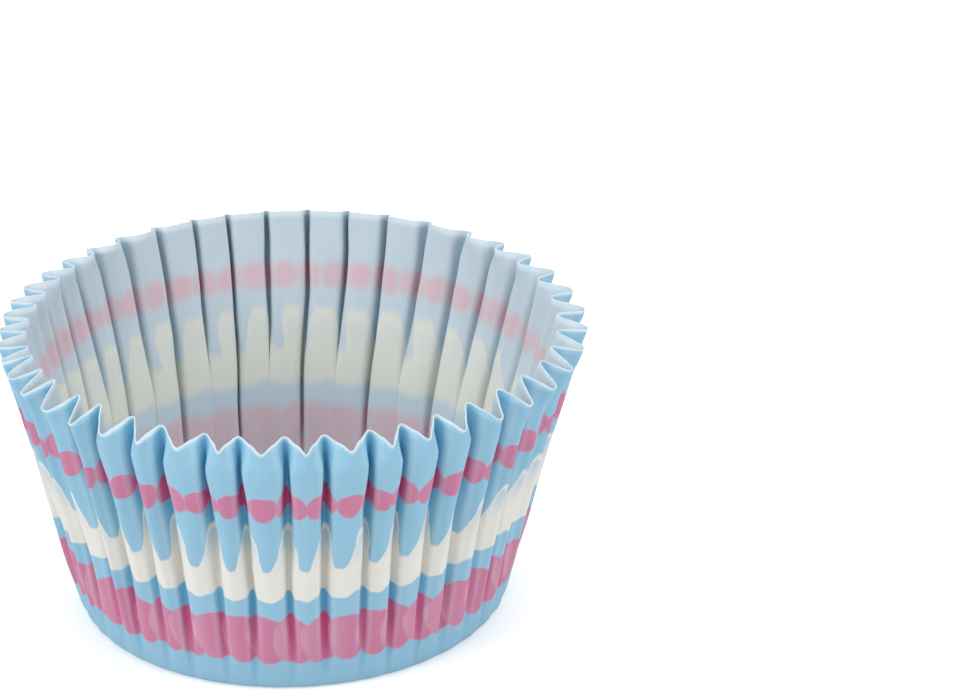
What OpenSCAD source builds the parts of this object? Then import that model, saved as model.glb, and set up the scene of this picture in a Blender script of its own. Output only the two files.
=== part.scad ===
// Cupcake liner: one round sheet of thin paper, pressed between a punch and a die.
// The middle of the sheet stays flat as the base. The rest stands up as a flaring wall,
// and because the sheet is far wider than the rim, the spare paper folds into pleats.

/* [Cup] */
// Diameter of the base, measured to the corner of the bend
base_d = 50; // [44:0.5:54]
// Diameter of the rim, half way through the depth of the pleats
rim_d = 63.6; // [60:0.1:72]
// Diameter of the flat round sheet before pressing
sheet_d = 119.2; // [110:0.2:130]
// Thickness of the paper
paper_t = 0.1; // [0.08:0.01:0.25]
// Distance from the corner of the bend to where the base and the wall begin to curve
heel = 0.9; // [0.5:0.1:2]

/* [Pleats] */
// Number of pleats round the rim, taken to the nearest even number
pleats = 44; // [36:2:48]
// Distance up the slant of the wall at which every second pleat begins
short_pleat_start = 9; // [6:0.5:14]
// Distance below the rim at which the outside of each fold is pinched narrowest
pinch_drop = 3.6; // [2.5:0.1:6]
// How upright the sides of a pleat stand in the lower wall, from 0 for a plain wave
low_steepness = 0.5; // [0:0.05:1]
// How upright the sides stand at the pinch, where over 1 the fold bulges past its neck
pinch_steepness = 1.05; // [0.8:0.05:1.2]
// How upright the sides stand at the cut edge, where the pleats spring open
rim_steepness = 0.3; // [0:0.05:0.8]
// How much higher the inner folds reach at the rim than the outer folds
rim_wave = 1; // [0:0.1:2]
// Share of the spare paper that is creased flat at the foot of the wall
creased_flat = 0.6; // [0.3:0.05:0.9]

/* [Unevenness] */
// Degrees by which the pleats bunch up on one side and spread on the other
bunching = 5; // [0:0.5:7]
// Degrees by which a pleat wanders from its even place
wander = 0.3; // [0:0.1:0.6]
// Degrees by which the inner folds of a pair lean towards each other
pairing = 0.4; // [0:0.1:0.8]
// Share by which pleats differ in depth
depth_change = 0.1; // [0:0.02:0.2]

/* [Hidden] */

// Turn of the pattern, which sets where its widest pleats face
pattern_turn = 227;
points_per_pleat = 8;
lower_bands = 5;
solve_steps = 14;
paper_blue = [0.60, 0.77, 0.86];

base_r = base_d / 2;
wall_slant = (sheet_d - base_d) / 2;
flare = asin((rim_d - base_d) / 2 / wall_slant);
pairs = round(pleats / 2);
ring_points = 2 * pairs * points_per_pleat;

// Slant distances of the rings of points, from the top of the bend to the rim
pinch_slant = wall_slant - pinch_drop;
slants = concat(
    [for (i = [0 : lower_bands]) heel + (pinch_slant - heel) * pow(i / lower_bands, 1.1)],
    [wall_slant]
);
bands = len(slants);

function smooth(x) = let (c = min(max(x, 0), 1)) c * c * (3 - 2 * c);
function unit(v) = v / norm(v);
function flat(p) = [p.x, p.y];
function mean_r(s) = base_r + s * sin(flare);

// Share of the pattern in which the pleats go in pairs, each as one wide pleat:
// nearly all of it low on the wall, and little of it at the rim
function paired(s) = 0.9 - 0.8 * smooth(s / short_pleat_start - 0.5);

// How upright the sides of the pleats stand at slant distance s
function steepness(s) =
    low_steepness
    + (pinch_steepness - low_steepness) * smooth(s / pinch_slant * 2 - 1)
    - (pinch_steepness - rim_steepness) * smooth((s - pinch_slant) / pinch_drop);

// In and out of one pair of pleats, whose outer folds lie at v = 0 and v = 0.5
function fold_shape(v, m) = (1 - m) * cos(720 * v) + m * cos(360 * v);

// Share of the pair's width at which the point v lies, shifted to stand the sides up
function fold_place(v, m, steep) =
    v + steep * ((1 - m) * sin(1440 * v) / (8 * PI) + m * sin(720 * v) / (4 * PI));

// Length of the paper along one pleat, half a pair, of this width and depth
function pleat_length(width, depth, steep, k = 0) =
    k == points_per_pleat ? 0 :
    let (
        a = k / points_per_pleat / 2,
        b = (k + 1) / points_per_pleat / 2,
        along = 2 * width * (fold_place(b, 0, steep) - fold_place(a, 0, steep)),
        across = depth * (fold_shape(b, 0) - fold_shape(a, 0))
    )
    norm([along, across]) + pleat_length(width, depth, steep, k + 1);

// Depth at which a pleat uses up this length of paper, found by halving an interval
function depth_for(width, paper, steep, low, high, steps) =
    let (middle = (low + high) / 2)
    steps == 0 ? middle :
    pleat_length(width, middle, steep) > paper
        ? depth_for(width, paper, steep, low, middle, steps - 1)
        : depth_for(width, paper, steep, middle, high, steps - 1);

// Depth of the pleats to each side of the mean wall. Paper does not stretch, so the
// wall measures as much round each ring as the flat sheet did at that distance, less
// what is creased flat at the foot.
function pleat_depth(s) =
    let (
        width = PI * mean_r(s) / pairs,
        paper = PI * (base_r + s) / pairs,
        kept = 1 - creased_flat * (1 - smooth(s / short_pleat_start))
    )
    kept * depth_for(width, paper, steepness(s), 0, width, solve_steps);

// Angle round the cup of a point that lies q pairs from the start of the pattern
function pattern_angle(q, s) =
    let (
        v = q - floor(q),
        even = 360 * (floor(q) + fold_place(v, paired(s), steepness(s))) / pairs
    )
    pattern_turn + even
    + bunching * (sin(even + 231) - 0.28 * sin(2 * even + 149) + 0.12 * sin(3 * even + 293))
    + wander * (sin(7 * even + 57) + sin(11 * even + 130))
    - pairing * sin(360 * v) * (1 + sin(even + 125));

// Depth of the pleat at q as a share of the usual depth
function own_depth(q) =
    let (even = 360 * q / pairs)
    1 + depth_change * (sin(5 * even + 80) + sin(9 * even)) / 2;

// Middle of the paper at slant distance s. Each fold runs straight up from the corner
// of the base, so a fold that leans out further ends lower.
function wall_point(q, s, depth) =
    let (
        shape = fold_shape(q - floor(q), paired(s)),
        r = mean_r(s) + depth * own_depth(q) * shape,
        z = sqrt(s * s - pow(r - base_r, 2)) - rim_wave / 2 * pow(s / wall_slant, 2) * shape,
        a = pattern_angle(q, s)
    )
    [r * cos(a), r * sin(a), z + paper_t / 2];

// Where the base begins to curve up into the wall
function foot_point(q) =
    let (a = pattern_angle(q, heel))
    [(base_r - heel) * cos(a), (base_r - heel) * sin(a), paper_t / 2];

// One face of the paper: a ring moved by half its thickness along the bisector of each
// corner. The tilt of the face is 90 for the base, which faces down, and the flare for the wall.
function paper_face(ring, side, tilt) =
    let (n = len(ring))
    [for (i = [0 : n - 1])
        let (
            before = unit(flat(ring[i]) - flat(ring[(i + n - 1) % n])),
            after = unit(flat(ring[(i + 1) % n]) - flat(ring[i])),
            middle = unit(before + after),
            reach = side * paper_t / 2,
            across = reach * cos(tilt) / max(middle * after, 0.4)
        )
        ring[i] + [middle.y * across, -middle.x * across, -reach * sin(tilt)]
    ];

// All rings of one face, from the foot to the rim
function wall_face(side) =
    let (places = [for (i = [0 : ring_points - 1]) i / points_per_pleat / 2])
    concat(
        [paper_face([for (q = places) foot_point(q)], side, 90)],
        [for (s = slants)
            let (depth = pleat_depth(s))
            paper_face([for (q = places) wall_point(q, s, depth)], side, flare)
        ]
    );

module paper_cup() {
    n = ring_points;
    layer = (bands + 1) * n;
    points = concat(
        [for (ring = wall_face(1)) each ring],
        [for (ring = wall_face(-1)) each ring],
        [[0, 0, 0], [0, 0, paper_t]]
    );
    under_centre = 2 * layer;
    wall = [for (j = [0 : bands - 1], i = [0 : n - 1])
        let (
            a = j * n + i,
            b = j * n + (i + 1) % n
        )
        each [
            [a, a + n, b + n], [a, b + n, b],
            [a + layer, b + n + layer, a + n + layer], [a + layer, b + layer, b + n + layer]
        ]
    ];
    cut_edge = [for (i = [0 : n - 1])
        let (
            a = bands * n + i,
            b = bands * n + (i + 1) % n
        )
        each [[a, a + layer, b + layer], [a, b + layer, b]]
    ];
    base = [for (i = [0 : n - 1])
        let (b = (i + 1) % n)
        each [[i, b, under_centre], [b + layer, i + layer, under_centre + 1]]
    ];
    color(paper_blue) polyhedron(points, concat(wall, cut_edge, base), convexity = 12);
}

paper_cup();
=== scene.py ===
import math

import bpy
from mathutils import Matrix, Vector


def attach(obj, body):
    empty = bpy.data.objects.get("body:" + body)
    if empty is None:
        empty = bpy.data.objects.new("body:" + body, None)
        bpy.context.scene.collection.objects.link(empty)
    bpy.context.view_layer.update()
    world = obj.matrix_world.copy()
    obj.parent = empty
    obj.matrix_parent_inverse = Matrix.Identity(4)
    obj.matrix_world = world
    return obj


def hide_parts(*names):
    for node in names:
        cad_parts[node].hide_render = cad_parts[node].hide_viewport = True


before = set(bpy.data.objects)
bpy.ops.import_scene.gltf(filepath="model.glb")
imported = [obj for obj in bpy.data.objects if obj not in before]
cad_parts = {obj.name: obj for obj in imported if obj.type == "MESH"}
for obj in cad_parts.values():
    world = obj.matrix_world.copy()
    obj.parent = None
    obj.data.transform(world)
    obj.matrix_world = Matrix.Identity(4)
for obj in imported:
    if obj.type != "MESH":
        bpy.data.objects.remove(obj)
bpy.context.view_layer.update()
MM = 0.001

# The camera. A long lens looks down on the cup from half a metre away, and the cup
# stands to the left of and below the middle of the picture.
picture_w = 960
picture_h = 691
focal_px = 4366
eye_distance = 509.5 * MM
aim_height = 15.7 * MM
look_down = math.radians(27.32)
head_tilt = math.radians(1.95)
aim_px = (290.5, 465.0)

to_eye = Vector((0, -math.cos(look_down), math.sin(look_down)))
right = Vector((1, 0, 0))
look = Matrix((right, to_eye.cross(right), to_eye))
tilt = Matrix.Rotation(head_tilt, 3, "Z")
to_aim = Vector((aim_px[0] - picture_w / 2, picture_h / 2 - aim_px[1], -focal_px))
turn_aside = Vector((0, 0, -1)).rotation_difference(to_aim).to_matrix()
camera_data = bpy.data.cameras.new("camera")
camera_data.sensor_width = 36
camera_data.lens = focal_px * camera_data.sensor_width / picture_w
camera_data.clip_start = 0.01
camera = bpy.data.objects.new("camera", camera_data)
eye = Vector((0, 0, aim_height)) + to_eye * eye_distance
camera.matrix_world = Matrix.Translation(eye) @ (turn_aside @ tilt @ look).transposed().to_4x4()
bpy.context.scene.collection.objects.link(camera)
bpy.context.scene.camera = camera

# The paper cup. One round sheet of greaseproof paper is printed on one side and pressed
# by a fluted punch: its middle stays flat as the base, and the rest stands up as a wall
# whose spare paper is taken up in pleats. Nothing is cut, glued or joined.
base_r = 25 * MM
sheet_r = 59.6 * MM
sizes = {
    "Base Radius": base_r,
    "Rim Radius": 31.8 * MM,
    "Sheet Radius": sheet_r,
    "Paper Thickness": 0.1 * MM,
    "Heel": 0.9 * MM,
    "Pleat Pairs": 22,
    "Short Pleat Start": 9 * MM,
    "Pinch Drop": 2.9 * MM,
    "Hollow": 0.4 * MM,
    "Rim Wave": 1 * MM,
    "Lip Height": 2.8 * MM,
    "Lip Lean": 1.5 * MM,
    "Lean to Right": 0.7 * MM,
    "Side Flare": 0.3 * MM,
    "Wobble": 0.3 * MM,
}


class Rule:
    """A value in a node tree. Sums and products of these make the nodes that work them out."""

    def __init__(self, tree, socket):
        self.tree = tree
        self.socket = socket

    def math(self, operation, *others):
        node = self.tree.nodes.new("ShaderNodeMath")
        node.operation = operation
        for slot, value in zip(node.inputs, (self, *others)):
            if isinstance(value, Rule):
                self.tree.links.new(value.socket, slot)
            else:
                slot.default_value = value
        return Rule(self.tree, node.outputs[0])

    def __add__(self, other):
        return self.math("ADD", other)

    def __sub__(self, other):
        return self.math("SUBTRACT", other)

    def __mul__(self, other):
        return self.math("MULTIPLY", other)

    def __truediv__(self, other):
        return self.math("DIVIDE", other)

    def __pow__(self, other):
        return self.math("POWER", other)

    def __rsub__(self, other):
        return self * -1 + other

    def __neg__(self):
        return self * -1

    __radd__ = __add__
    __rmul__ = __mul__

    def wave(self):
        """Sine of a number of whole turns."""
        return (self * math.tau).math("SINE")

    def eased(self, low, high):
        """Rises smoothly from 0 at low to 1 at high."""
        node = self.tree.nodes.new("ShaderNodeMapRange")
        node.interpolation_type = "SMOOTHSTEP"
        self.tree.links.new(self.socket, node.inputs["Value"])
        for name, value in (("From Min", low), ("From Max", high)):
            if isinstance(value, Rule):
                self.tree.links.new(value.socket, node.inputs[name])
            else:
                node.inputs[name].default_value = value
        return Rule(self.tree, node.outputs["Result"])


def ink(red, green, blue):
    """A colour as a screen shows it, from 0 to 255, in the linear values that nodes take."""
    shares = [c / 255 for c in (red, green, blue)]
    return [c / 12.92 if c < 0.04045 else ((c + 0.055) / 1.055) ** 2.4 for c in shares] + [1]


def mixed(tree, share, under, over):
    """The colour under, with over laid on it where share is 1."""
    node = tree.nodes.new("ShaderNodeMix")
    node.data_type = "RGBA"
    tree.links.new(share.socket, node.inputs["Factor"])
    for slot, colour in ((node.inputs["A"], under), (node.inputs["B"], over)):
        if isinstance(colour, bpy.types.NodeSocket):
            tree.links.new(colour, slot)
        else:
            slot.default_value = colour
    return node.outputs["Result"]


# The print: rings of rounded buds and joined petals on a pale blue ground. They are drawn
# on the flat sheet, so they fold with it, and show faintly through on its other side. Each
# ring has its inner and outer edge, as distances from the edge of the base, the number of
# its figures, where the first stands, and for buds their width, as shares of their pitch.
buds_low = (4.1 * MM, 10.7 * MM, 55, 0.3, 1.5)
petals = (13.2 * MM, 22.9 * MM, 45, 0.76)
buds_high = (25.1 * MM, 28.5 * MM, 103, 0.636, 1.06)
hand_drawn = 0.6 * MM
shake_size = 4 * MM
bud_squareness = 2.2
bud_thinness = 0.22
petal_thinness = 0.55
petal_notch = 0.55
petal_tip_ends = 0.3
petal_notch_begins = 0.88
petal_foot = 0.7 * MM
petal_outline = 0.5 * MM
petal_thins_from = -1 * MM
frayed_strip = 0.5 * MM
# How much more saturated and how much darker the print is painted deep in the folds, as painted
# shade
fold_shade_saturation = 0.4
fold_shade_darkness = 0.12

rings = bpy.data.node_groups.new("ringed print", "ShaderNodeTree")
rings.interface.new_socket("Sheet", in_out="INPUT", socket_type="NodeSocketVector")
for name in ("Ground", "Bud", "Petal", "Worn and Highlit"):
    rings.interface.new_socket(name, in_out="INPUT", socket_type="NodeSocketColor")
for name in ("Blur", "Crease", "Wear and Highlight", "Fray", "Tucked", "Outside"):
    rings.interface.new_socket(name, in_out="INPUT", socket_type="NodeSocketFloat")
rings.interface.new_socket("Print", in_out="OUTPUT", socket_type="NodeSocketColor")
rings_in = rings.nodes.new("NodeGroupInput")
rings_out = rings.nodes.new("NodeGroupOutput")


def asked(name):
    """One of the print's own inputs."""
    return Rule(rings, rings_in.outputs[name])


# Place on the sheet, in metres from its centre, shaken a little as by a drawing hand
centred = rings.nodes.new("ShaderNodeVectorMath")
centred.operation = "SUBTRACT"
centred.inputs[1].default_value = (0.5, 0.5, 0)
rings.links.new(rings_in.outputs["Sheet"], centred.inputs[0])
shake = rings.nodes.new("ShaderNodeTexNoise")
shake.inputs["Scale"].default_value = 2 * sheet_r / shake_size
shake.inputs["Detail"].default_value = 1.5
rings.links.new(centred.outputs[0], shake.inputs["Vector"])
shake_parts = rings.nodes.new("ShaderNodeSeparateColor")
rings.links.new(shake.outputs["Color"], shake_parts.inputs[0])
place_parts = rings.nodes.new("ShaderNodeSeparateXYZ")
rings.links.new(centred.outputs[0], place_parts.inputs[0])
sheet_x = Rule(rings, place_parts.outputs["X"]) * (2 * sheet_r)
sheet_y = Rule(rings, place_parts.outputs["Y"]) * (2 * sheet_r)
shake_out = (Rule(rings, shake_parts.outputs[0]) - 0.5) * (2 * hand_drawn)
shake_round = (Rule(rings, shake_parts.outputs[1]) - 0.5) * (2 * hand_drawn)
off_centre = (sheet_x * sheet_x + sheet_y * sheet_y).math("SQRT")
out = off_centre - base_r + shake_out
turns = sheet_y.math("ARCTAN2", sheet_x) / math.tau + 1
blur = asked("Blur")


def beside_middle(count, at, start):
    """Distance along the ring from the middle of the nearest of its figures, and their pitch."""
    pitch = math.tau * (base_r + at) / count
    cell = (turns * count + start).math("FRACT") - 0.5
    return cell * pitch + shake_round, pitch


def buds(low, high, count, start, fullness):
    """A ring of rounded buds, each laid over the one before, and how near its far edge a
    point of a bud lies, where the ink is thinner."""
    middle = (low + high) / 2
    tall = (high - low) / 2
    beside, pitch = beside_middle(count, middle, start)
    wide = pitch / 2 * fullness
    up = ((out - middle) / tall).math("ABSOLUTE") ** bud_squareness
    edge = blur / wide

    def inside(sideways):
        share_wide = (sideways.math("ABSOLUTE") / wide) ** bud_squareness
        own = (share_wide + up) ** (1 / bud_squareness)
        return 1 - own.eased(1 - edge, 1 + edge)

    covered = inside(pitch - beside)
    fill = inside(beside).math("MAXIMUM", covered).math("MAXIMUM", inside(beside + pitch))
    across_bud = covered - beside / pitch + fullness / 2 - 0.5
    return fill, across_bud.math("MAXIMUM", 0) ** 2 * fill


def petal_ring(low, high, count, start):
    """A band of joined petals with round feet, which thin out towards their round tips."""
    middle = (low + high) / 2
    beside, pitch = beside_middle(count, middle, start)
    off_tip = (beside / (pitch / 2)).math("ABSOLUTE").math("MINIMUM", 1)
    notch = off_tip.eased(petal_tip_ends, petal_notch_begins)
    top = high - (high - low) * petal_notch * notch
    foot = low + petal_foot * (1 - off_tip) ** 2
    fill = (top - out).eased(-blur, blur) * (out - foot).eased(-blur, blur)
    outline = 1 - (top - out - petal_outline).math("ABSOLUTE").eased(0, blur * 4)
    thin = out.eased(middle + petal_thins_from, high) * (1 - outline)
    return fill * (1 - petal_thinness * thin)


low_fill, low_thin = buds(*buds_low)
high_fill = buds(*buds_high)[0]
petal_ink = rings_in.outputs["Petal"]
colour = mixed(rings, petal_ring(*petals), rings_in.outputs["Ground"], petal_ink)
colour = mixed(rings, low_fill.math("MAXIMUM", high_fill), colour, rings_in.outputs["Bud"])
colour = mixed(rings, low_thin * bud_thinness, colour, petal_ink)

# Along the folds the print turns pale, partly worn ink and partly a painted highlight on the
# fold corners, and the last sliver before the cut edge is pale, where the knife has lifted the
# fibres
cut_at = sheet_r - base_r
worn_and_highlit = asked("Crease") * asked("Wear and Highlight")
frayed = out.eased(cut_at - frayed_strip, cut_at) * asked("Fray")
colour = mixed(rings, worn_and_highlit.math("MAXIMUM", frayed), colour, rings_in.outputs["Worn and Highlit"])

# Painted shade: deep in the folds, on the face the fold opens towards, the print is made darker
# and more saturated
painted_fold_shade = (asked("Tucked") * asked("Outside")).math("MAXIMUM", 0)
fold_shading = rings.nodes.new("ShaderNodeHueSaturation")
rings.links.new((1 + painted_fold_shade * fold_shade_saturation).socket, fold_shading.inputs["Saturation"])
rings.links.new((1 - painted_fold_shade * fold_shade_darkness).socket, fold_shading.inputs["Value"])
rings.links.new(colour, fold_shading.inputs["Color"])
rings.links.new(fold_shading.outputs["Color"], rings_out.inputs["Print"])

# Paper grain: short fibres and soft cockles tint the sheet a little and raise its surface
fibre_size = 0.25 * MM
cockle_size = 2.2 * MM
grain = bpy.data.node_groups.new("paper grain", "ShaderNodeTree")
grain.interface.new_socket("Place", in_out="INPUT", socket_type="NodeSocketVector")
grain.interface.new_socket("Print", in_out="INPUT", socket_type="NodeSocketColor")
grain.interface.new_socket("Mottle", in_out="INPUT", socket_type="NodeSocketFloat")
grain.interface.new_socket("Color", in_out="OUTPUT", socket_type="NodeSocketColor")
grain.interface.new_socket("Height", in_out="OUTPUT", socket_type="NodeSocketFloat")
grain_in = grain.nodes.new("NodeGroupInput")
grain_out = grain.nodes.new("NodeGroupOutput")


def cloud(size, detail):
    """Soft noise from 0 to 1, whose patches are about this many metres across."""
    node = grain.nodes.new("ShaderNodeTexNoise")
    node.inputs["Scale"].default_value = 1 / size
    node.inputs["Detail"].default_value = detail
    grain.links.new(grain_in.outputs["Place"], node.inputs["Vector"])
    return Rule(grain, node.outputs["Fac"])


fibres = cloud(fibre_size, 3)
cockles = cloud(cockle_size, 2)
shade = (fibres * 0.5 + cockles * 0.5 - 0.5) * Rule(grain, grain_in.outputs["Mottle"])
pale = mixed(grain, shade.math("MAXIMUM", 0), grain_in.outputs["Print"], (1, 1, 1, 1))
dark = mixed(grain, (-shade).math("MAXIMUM", 0), pale, (0, 0, 0, 1))
grain.links.new(dark, grain_out.inputs["Color"])
grain.links.new((fibres * 0.3 + cockles).socket, grain_out.inputs["Height"])


def paper(name, mottle, print_values):
    """One face of the paper: its print, its grain and its dull finish."""
    material = bpy.data.materials.new(name)
    material.use_nodes = True
    tree = material.node_tree
    shader = tree.nodes["Principled BSDF"]
    sheet_place = tree.nodes.new("ShaderNodeUVMap")
    sheet_place.uv_map = "flat sheet"
    place = tree.nodes.new("ShaderNodeTexCoord")
    inked = tree.nodes.new("ShaderNodeGroup")
    inked.node_tree = rings
    tree.links.new(sheet_place.outputs["UV"], inked.inputs["Sheet"])
    for slot, value in print_values.items():
        inked.inputs[slot].default_value = value
    # Where the creases lie, for their pale strip, and how deep in a fold a point lies, for the
    # painted shade there
    for slot in ("Crease", "Tucked"):
        along_folds = tree.nodes.new("ShaderNodeAttribute")
        along_folds.attribute_name = slot.lower()
        tree.links.new(along_folds.outputs["Fac"], inked.inputs[slot])
    grained = tree.nodes.new("ShaderNodeGroup")
    grained.node_tree = grain
    tree.links.new(place.outputs["Object"], grained.inputs["Place"])
    tree.links.new(inked.outputs["Print"], grained.inputs["Print"])
    grained.inputs["Mottle"].default_value = mottle
    tree.links.new(grained.outputs["Color"], shader.inputs["Base Color"])
    bump = tree.nodes.new("ShaderNodeBump")
    bump.inputs["Strength"].default_value = 0.35
    bump.inputs["Distance"].default_value = 0.05 * MM
    tree.links.new(grained.outputs["Height"], bump.inputs["Height"])
    tree.links.new(bump.outputs["Normal"], shader.inputs["Normal"])
    shader.inputs["Roughness"].default_value = 0.6
    shader.inputs["Specular IOR Level"].default_value = 0.4
    return material


# The inks of each face. Blur is how softly the figures end, Wear and Fray say how far the
# folds and the cut edge turn pale, the folds partly worn and partly with a painted highlight,
# and Outside is 1, -1 for the face inside the cup, or 0; it picks the face whose folds take
# the painted shade.
bare = ink(218, 232, 240)
faces = {
    "Printed Side": paper("printed paper", 0.1, {
        "Ground": ink(145, 193, 218),
        "Bud": ink(200, 123, 157),
        "Petal": ink(230, 228, 221),
        "Worn and Highlit": bare,
        "Blur": 0.17 * MM,
        "Wear and Highlight": 0.25,
        "Fray": 0.8,
        "Outside": 1,
    }),
    "Plain Side": paper("back of the paper", 0.08, {
        "Ground": ink(198, 213, 222),
        "Bud": ink(216, 189, 197),
        "Petal": ink(225, 226, 215),
        "Worn and Highlit": ink(214, 223, 230),
        "Blur": 0.7 * MM,
        "Wear and Highlight": 0.6,
        "Fray": 0,
        "Outside": -1,
    }),
    "Cut Side": paper("cut edge of the paper", 0.04, {
        "Ground": bare,
        "Bud": bare,
        "Petal": bare,
        "Worn and Highlit": bare,
        "Blur": 0.17 * MM,
        "Wear and Highlight": 0,
        "Fray": 0,
        "Outside": 0,
    }),
}

# The press: a tree of nodes that folds a flat grid of points into the cup
points_per_pleat = 18
rings_in_base = 6
rings_in_wall = 46
closer_at_foot = 1.2

press = bpy.data.node_groups.new("pressed paper cup", "GeometryNodeTree")
press.is_modifier = True
press_inputs = {}
for name in sizes:
    socket = press.interface.new_socket(name, in_out="INPUT", socket_type="NodeSocketFloat")
    press_inputs[name] = socket.identifier
for name in faces:
    socket = press.interface.new_socket(name, in_out="INPUT", socket_type="NodeSocketMaterial")
    press_inputs[name] = socket.identifier
press.interface.new_socket("Geometry", in_out="OUTPUT", socket_type="NodeSocketGeometry")
press_in = press.nodes.new("NodeGroupInput")
press_out = press.nodes.new("NodeGroupOutput")


def given(name):
    """One of the cup's sizes, as the tree gets it."""
    return Rule(press, press_in.outputs[name])


def step(kind, geometry=None, **settings):
    """A geometry node fed with the given geometry."""
    node = press.nodes.new(kind)
    for key, value in settings.items():
        setattr(node, key, value)
    if geometry:
        press.links.new(geometry, node.inputs[0])
    return node


def vector(*parts):
    """The vector that has these parts."""
    node = press.nodes.new("ShaderNodeCombineXYZ")
    for slot, part in zip(node.inputs, parts):
        press.links.new(part.socket, slot)
    return node.outputs[0]


def around(turn, distance):
    """X and Y of the point this many turns round the middle and this far from it."""
    return (turn + 0.25).wave() * distance, turn.wave() * distance


# The grid has one column for each place round the sheet and one row for each ring, from
# the centre of the base to the cut edge. The rings lie closer at the foot of the wall.
columns = int(sizes["Pleat Pairs"]) * 2 * points_per_pleat
rows = rings_in_base + rings_in_wall
grid = step("GeometryNodeMeshGrid")
grid.inputs["Size X"].default_value = 1
grid.inputs["Size Y"].default_value = 1
grid.inputs["Vertices X"].default_value = columns + 1
grid.inputs["Vertices Y"].default_value = rows + 1
position = press.nodes.new("GeometryNodeInputPosition")
grid_parts = step("ShaderNodeSeparateXYZ", position.outputs[0])
even = Rule(press, grid_parts.outputs["X"]) + 0.5
ring = (Rule(press, grid_parts.outputs["Y"]) + 0.5) * rows

base_radius = given("Base Radius")
heel = given("Heel")
sheet_radius = given("Sheet Radius")
slant = sheet_radius - base_radius
ring_in_wall = ((ring - rings_in_base) / rings_in_wall).math("MAXIMUM", 0)
flat_part = (ring / rings_in_base).math("MINIMUM", 1) * (base_radius - heel)
wall_part = ring_in_wall ** closer_at_foot * (slant + heel)
from_centre = flat_part + wall_part

# Distance up the slant of the wall, after the bend at the base
beyond_base = from_centre - base_radius
up_wall = beyond_base.math("SMOOTH_MAX", 0, heel * 2)
on_base = beyond_base - up_wall
share_up = up_wall / slant
lean_out = (given("Rim Radius") - base_radius) / slant
mean_radius = base_radius + up_wall * lean_out

# Turn round the cup before the sides of the pleats are stood up, in degrees. The pleats
# bunch up on one side, wander a little and lean towards each other in pairs.
pattern_turn = 227
bunching = 5
wander = 0.3
pairing = 0.4
pairs = given("Pleat Pairs")
pair_place = even * pairs


def swing(times, start):
    """A wave that runs so many times round the cup, started by so many degrees."""
    return (even * times + start / 360).wave()


bunched = swing(1, 231) - 0.28 * swing(2, 149) + 0.12 * swing(3, 293)
wandered = swing(7, 57) + swing(11, 130)
drawn_together = pair_place.wave() * (1 + swing(1, 125))
shift = (pattern_turn + bunching * bunched + wander * wandered) / 360

# Where a point stands: front is 1 in front and 0 at the back, at_sides is 1 at both sides,
# to_right is 1 at the right and -1 at the left, and sprung rises to 1 from the pinch up to
# the cut edge, where the paper springs open
short_start = given("Short Pleat Start")
pinch = slant - given("Pinch Drop")
front = 0.5 - 0.5 * (even + shift).wave()
at_sides = 4 * front * (1 - front)
to_right = (even + shift + 0.25).wave()
sprung = ((up_wall - pinch) / (slant - pinch)).math("SMOOTH_MAX", 0, 0.1)

# The cup leans on its front pleats. At a bias of 1 the outer folds spread wide and the
# inner ones close up, as in front. At -1 it is the other way round, as at the back, and at
# 0 the wall is an even zigzag, as in front and at the sides of the cut edge.
back_bias = -0.95
front_bias = 0.55
front_pinch_bias = 0.85
front_rim_bias = -0.1
side_rim_gain = 0.05
left_rim_gain = 0.15
gain_at_pinch = (front_pinch_bias - front_bias) * up_wall.eased(pinch * 0.7, pinch)
bias_low = front * (front_bias - back_bias + gain_at_pinch) + back_bias
bias_rim = (front_rim_bias - back_bias) * front.eased(0, 0.25)
bias_rim = bias_rim + (side_rim_gain - left_rim_gain * to_right) * at_sides + back_bias
bias = bias_low * (1 - sprung) + bias_rim * sprung

# Width of the slit that a closed fold leaves between its sides, as a share of the pleat
back_slit = 0.17
front_slit = 0.19
front_pinch_slit = 0.1
wider_at_side_rim = 0.16
loss_at_pinch = (front_slit - front_pinch_slit) * up_wall.eased(pinch * 0.8, pinch)
slit = back_slit + front * (front_slit - back_slit - loss_at_pinch)
slit = slit + wider_at_side_rim * at_sides * sprung

# At the back every second pleat fades out low on the wall, between two multiples of the
# short pleats' start, and in front it hardly fades. The back pleats also lean over at the
# foot, are turned a little at the rim and fan out from each other, all in degrees.
fade_from = 1.4
fade_to = 2.7
front_fade = 0.15
foot_lean = 1.5
rim_turn = 0.4
rim_fan = 2.6
paired = 1 - up_wall.eased(short_start * fade_from, short_start * fade_to)
paired = paired * (1 - (1 - front_fade) * front)
leant = foot_lean * (1 - front) * (1 - up_wall.eased(slant * 0.1, slant * 0.8))
fanned = (rim_turn + rim_fan * to_right) * (1 - front) ** 2 * up_wall.eased(slant * 0.3, slant)
shift = shift + (leant - fanned - pairing * drawn_together * front) / 360

# The outer folds lie at whole numbers of pleats and the inner ones half way between. The
# folds of one side are closed fins with a slit between their sides and flat panels
# between the fins, and the bias says how far they are the outer or the inner folds.
pleat_place = pair_place * 2
nearest = (pleat_place + 0.5).math("FLOOR")
aside = pleat_place - nearest
off_outer = aside.math("ABSOLUTE") * 2
off_inner = 1 - off_outer
outer_fin = 1 - paired * nearest.math("MODULO", 2)
inner_fin = 1 - paired * pleat_place.math("FLOOR").math("MODULO", 2)
to_inner = bias * 0.5 + 0.5
to_outer = 1 - to_inner

# As shares of the way from a fold to the next one: where the side of the fin ends, where
# the panel takes over and how softly, where the pale crease lies (worn, with a painted
# highlight) and how wide it is, how far the side reaches in depth, and how blunt the outer
# folds are at the sides of the rim.
# The side takes this share of the whole depth.
side_ends = 0.5
panel_from = 0.45
panel_curve = 0.2
crease_at = 0.48
crease_reach = 0.12
side_reach = 0.55
blunt_tip = 0.15
side_share = 0.9


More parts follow.
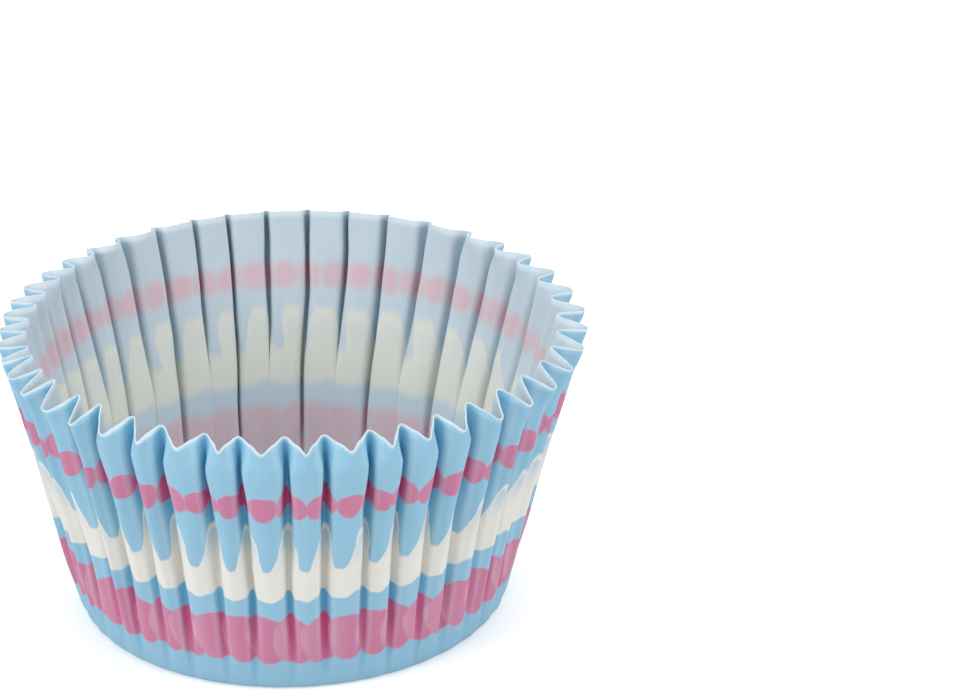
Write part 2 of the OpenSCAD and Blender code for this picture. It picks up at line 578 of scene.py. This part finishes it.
def from_slit(along, fin):
    """How far a point lies from the middle of the slit, as a share of half the pleat."""
    opening = slit * fin
    into_slit = (along / side_ends).math("MINIMUM", 1)
    across_panel = ((along - panel_from) / (1 - panel_from)).math("SMOOTH_MAX", 0, panel_curve)
    return opening * into_slit * (2 - into_slit) + (1 - opening) * across_panel


def on_corner(along, fin):
    """1 where the panel turns into the side of the fin, and 0 away from there."""
    return (1 - ((along - crease_at) / crease_reach).math("ABSOLUTE").math("MINIMUM", 1)) * fin


def rise(along, blunt):
    """1 on the fold and 0 on the next one, with most of the fall on the side of the fin."""
    side = along.eased(blunt, blunt + side_reach)
    return 1 - side_share * side - (1 - side_share) * along


across_outer = from_slit(off_outer, outer_fin)
across_inner = 1 - from_slit(off_inner, inner_fin)
across_pleat = across_outer * to_outer + across_inner * to_inner
turn = (nearest + 0.5 * aside.math("SIGN") * across_pleat) / (pairs * 2) + shift
stands_out = 2 * outer_fin * rise(off_outer, blunt_tip * at_sides * sprung) - 1
stands_in = 1 - 2 * inner_fin * rise(off_inner, 0)
fold = stands_out * to_outer + stands_in * to_inner
above_foot = up_wall.eased(0, short_start)
crease = on_corner(off_outer, outer_fin) * to_outer + on_corner(off_inner, inner_fin) * to_inner
crease = crease * above_foot

# How deep in a fold a point lies, above 0 as seen from outside and below 0 from inside; the print
# darkens there as painted shade
tucked = (1 - stands_in) * to_inner - (1 + stands_out) * to_outer
tucked = tucked * 0.5 * above_foot

# Depth of the pleats: paper doesn't stretch, so what is spare at this height goes into
# the sides of the folds, less what is creased flat at the foot. The round of the folds
# takes a little off a zigzag, and a pair of pleats that has become one stands deeper.
creased_flat = 0.6
round_loss = 0.03
depth_change = 0.1
pair_gain = 0.5
pleat_width = mean_radius * math.pi / pairs
spare = (base_radius + up_wall) / mean_radius
zigzag = (spare * spare - 1).math("MAXIMUM", 0).math("SQRT") * (1 - round_loss)
fins = spare - 1 + slit * up_wall.eased(0, heel)
closed = bias.math("ABSOLUTE")
kept = 1 - creased_flat + creased_flat * above_foot
own_depth = 1 + depth_change / 2 * (swing(5, 80) + swing(9, 0))
depth = pleat_width / 4 * (zigzag * (1 - closed) + fins * closed)
depth = depth * kept * own_depth * (1 + pair_gain * paired)

# Each pleat also wavers a little by itself on its way up, in longer sweeps than sideways.
# The noise that moves it has no seed, so it is the same each time.
waver_size = 3.2 * MM
waver_sweep = 0.35
waver = press.nodes.new("ShaderNodeTexNoise")
waver.inputs["Scale"].default_value = 1 / waver_size
waver.inputs["Detail"].default_value = 1
waver_place = vector(*around(turn, mean_radius), up_wall * waver_sweep)
press.links.new(waver_place, waver.inputs["Vector"])
waver_parts = step("ShaderNodeSeparateXYZ", waver.outputs["Color"])
grown = up_wall.eased(0, slant * 0.5) * given("Wobble")
sideways = (Rule(press, waver_parts.outputs["X"]) - 0.5) * 2 * grown
outwards = (Rule(press, waver_parts.outputs["Y"]) - 0.5) * grown

# The front tips lean in, the wall is a little hollow, and the cup leans to the right and
# flares at its sides. Closed fins stand to one side of the mean wall.
fin_aside = 0.45
lip = up_wall.eased(slant - given("Lip Height"), slant) * given("Lip Lean") * front.eased(0.7, 1)
hollow = given("Hollow") * (share_up * 0.5).wave() * up_wall.eased(0, slant * 0.4)
to_side = given("Lean to Right") * to_right * share_up
flared = given("Side Flare") * at_sides * share_up ** 2
leaning = up_wall * lean_out + depth * (fold - bias * fin_aside) + outwards
leaning = leaning + to_side + flared - lip * (0.5 + 0.5 * fold) - hollow
radius = base_radius + on_base + leaning

# How much lower the tips of the outer folds hang than the inner ones, as a share of the
# rim's wave: from the back past the sides and the front corners to the middle in front
hang_back = 0.2
hang_sides = -0.1
hang_corners = 0.7
hang_middle = 0.5
hang = hang_back + (hang_sides - hang_back) * front.eased(0, 0.45)
hang = hang + (hang_corners - hang_sides) * front.eased(0.5, 0.8)
hang = hang + (hang_middle - hang_corners) * front.eased(0.85, 1)
tip = given("Rim Wave") * hang * share_up ** 2 * fold
height = (up_wall * up_wall - leaning * leaning).math("MAXIMUM", 0).math("SQRT") - tip
angle = turn + sideways / radius.math("MAXIMUM", base_radius * 0.5) / math.tau

# These values are kept with each point, because the points move after this
stored = grid.outputs["Mesh"]
to_keep = {"row": ring, "from centre": from_centre, "crease": crease, "tucked": tucked}
for name, value in to_keep.items():
    keep = step("GeometryNodeStoreNamedAttribute", stored, data_type="FLOAT", domain="POINT")
    keep.inputs["Name"].default_value = name
    press.links.new(value.socket, keep.inputs["Value"])
    stored = keep.outputs[0]
moved = step("GeometryNodeSetPosition", stored)
press.links.new(vector(*around(angle, radius), height), moved.inputs["Position"])


def kept_value(name):
    """A value that was kept with the points."""
    node = press.nodes.new("GeometryNodeInputNamedAttribute")
    node.data_type = "FLOAT"
    node.inputs["Name"].default_value = name
    return Rule(press, node.outputs["Attribute"])


# Where each point lay on the flat sheet: paper doesn't stretch, so the share of the way
# round its ring is measured along the folds, from the point in the column before
index = Rule(press, press.nodes.new("GeometryNodeInputIndex").outputs[0])
column_before = (index - (rows + 1)).math("MAXIMUM", 0)
before = step("GeometryNodeSampleIndex", moved.outputs[0], data_type="FLOAT_VECTOR")
press.links.new(position.outputs[0], before.inputs["Value"])
press.links.new(column_before.socket, before.inputs["Index"])
gap = press.nodes.new("ShaderNodeVectorMath")
gap.operation = "DISTANCE"
press.links.new(position.outputs[0], gap.inputs[0])
press.links.new(before.outputs[0], gap.inputs[1])
stride = Rule(press, gap.outputs["Value"]) * index.math("GREATER_THAN", rows + 0.5)
ring_number = press.nodes.new("FunctionNodeFloatToInt")
press.links.new(kept_value("row").socket, ring_number.inputs[0])
gathered = press.nodes.new("GeometryNodeAccumulateField")
press.links.new(stride.socket, gathered.inputs["Value"])
press.links.new(ring_number.outputs[0], gathered.inputs["Group ID"])
way_round = Rule(press, gathered.outputs["Leading"]) / Rule(press, gathered.outputs["Total"])
sheet_share = kept_value("from centre") / sheet_radius * 0.5
sheet_u, sheet_v = around(way_round, sheet_share)
mapped = step(
    "GeometryNodeStoreNamedAttribute", moved.outputs[0], data_type="FLOAT2", domain="CORNER"
)
mapped.inputs["Name"].default_value = "flat sheet"
press.links.new(vector(sheet_u + 0.5, sheet_v + 0.5), mapped.inputs["Value"])

# The last column meets the first, and the points at the centre become one
same_place = 0.0005 * MM
seamed = step("GeometryNodeMergeByDistance", mapped.outputs[0])
seamed.inputs["Distance"].default_value = same_place
smooth = step("GeometryNodeSetShadeSmooth", seamed.outputs[0])
printed = step("GeometryNodeSetMaterial", smooth.outputs[0])
press.links.new(press_in.outputs["Printed Side"], printed.inputs["Material"])

# The paper's thickness: the inner face lies one thickness further in, and the strip
# between the two is the cut edge of the rim
turned = step("GeometryNodeFlipFaces", smooth.outputs[0])
normal = press.nodes.new("GeometryNodeInputNormal")
inwards = press.nodes.new("ShaderNodeVectorMath")
inwards.operation = "SCALE"
press.links.new(normal.outputs[0], inwards.inputs[0])
press.links.new(press_in.outputs["Paper Thickness"], inwards.inputs["Scale"])
lifted = step("GeometryNodeExtrudeMesh", turned.outputs[0], mode="FACES")
lifted.inputs["Individual"].default_value = False
press.links.new(inwards.outputs[0], lifted.inputs["Offset"])
sharp_cut = step("GeometryNodeSetShadeSmooth", lifted.outputs["Mesh"])
press.links.new(lifted.outputs["Side"], sharp_cut.inputs["Selection"])
sharp_cut.inputs["Shade Smooth"].default_value = False
plain = step("GeometryNodeSetMaterial", sharp_cut.outputs[0])
press.links.new(lifted.outputs["Top"], plain.inputs["Selection"])
press.links.new(press_in.outputs["Plain Side"], plain.inputs["Material"])
cut = step("GeometryNodeSetMaterial", plain.outputs[0])
press.links.new(lifted.outputs["Side"], cut.inputs["Selection"])
press.links.new(press_in.outputs["Cut Side"], cut.inputs["Material"])
joined = press.nodes.new("GeometryNodeJoinGeometry")
press.links.new(cut.outputs[0], joined.inputs[0])
press.links.new(printed.outputs[0], joined.inputs[0])
whole = step("GeometryNodeMergeByDistance", joined.outputs[0])
whole.inputs["Distance"].default_value = same_place
real = step("GeometryNodeRealizeInstances", whole.outputs[0])
press.links.new(real.outputs[0], press_out.inputs[0])

cup = bpy.data.objects.new("pleated_cup", bpy.data.meshes.new("sheet"))
bpy.context.scene.collection.objects.link(cup)
pressing = cup.modifiers.new("pressing", "NODES")
pressing.node_group = press
for name, value in sizes.items():
    pressing[press_inputs[name]] = float(value)
for name, material in faces.items():
    pressing[press_inputs[name]] = material
depsgraph = bpy.context.evaluated_depsgraph_get()
pressed = bpy.data.meshes.new_from_object(
    cup.evaluated_get(depsgraph), preserve_all_data_layers=True, depsgraph=depsgraph
)
cup.modifiers.clear()
cup.data = pressed
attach(cup, "root")
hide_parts("paper_cup")

# The floor and the light. A white table in a white room, under soft lamps at both sides,
# behind and above.
floor_half = 3
floor_glow = 0.4
room_light = 0.3
lamp_aim = Vector((0, 0, 20 * MM))

floor_mesh = bpy.data.meshes.new("floor")
corners = [(x * floor_half, y * floor_half, 0) for x, y in ((-1, -1), (1, -1), (1, 1), (-1, 1))]
floor_mesh.from_pydata(corners, [], [(0, 1, 2, 3)])
floor = bpy.data.objects.new("floor", floor_mesh)
bpy.context.scene.collection.objects.link(floor)
white = bpy.data.materials.new("white table")
white.use_nodes = True
white_shader = white.node_tree.nodes["Principled BSDF"]
white_shader.inputs["Base Color"].default_value = (0.8, 0.8, 0.8, 1)
white_shader.inputs["Roughness"].default_value = 0.9
white_shader.inputs["Emission Color"].default_value = (1, 1, 1, 1)


def looked_at(tree):
    """1 where the eye sees a surface, straight or in a reflection, and 0 where it gives light."""
    path = tree.nodes.new("ShaderNodeLightPath")
    seen = Rule(tree, path.outputs["Is Camera Ray"])
    for kind in ("Is Glossy Ray", "Is Transmission Ray"):
        seen = seen.math("MAXIMUM", Rule(tree, path.outputs[kind]))
    return seen


glow = looked_at(white.node_tree) * floor_glow
white.node_tree.links.new(glow.socket, white_shader.inputs["Emission Strength"])
floor_mesh.materials.append(white)

room = bpy.data.worlds.new("white room")
room.use_nodes = True
bpy.context.scene.world = room
sky = room.node_tree.nodes["Background"]
sky.inputs["Color"].default_value = (1, 1, 1, 1)
brightness = looked_at(room.node_tree) * (1 - room_light) + room_light
room.node_tree.links.new(brightness.socket, sky.inputs["Strength"])


def lamp(name, place, watts, across):
    """A square soft lamp that faces the cup."""
    light = bpy.data.lights.new(name, "AREA")
    light.energy = watts
    light.size = across
    holder = bpy.data.objects.new(name, light)
    holder.location = place
    holder.rotation_euler = (lamp_aim - Vector(place)).to_track_quat("-Z", "Y").to_euler()
    bpy.context.scene.collection.objects.link(holder)


lamp("left lamp", (-0.75, -0.45, 0.5), watts=5.2, across=0.6)
lamp("right lamp", (0.75, -0.45, 0.5), watts=4.1, across=0.6)
lamp("back lamp", (0.15, 0.85, 0.45), watts=2.4, across=0.6)
lamp("ceiling lamp", (0, 0, 0.95), watts=3.9, across=0.7)

bpy.context.scene.view_settings.view_transform = "Standard"
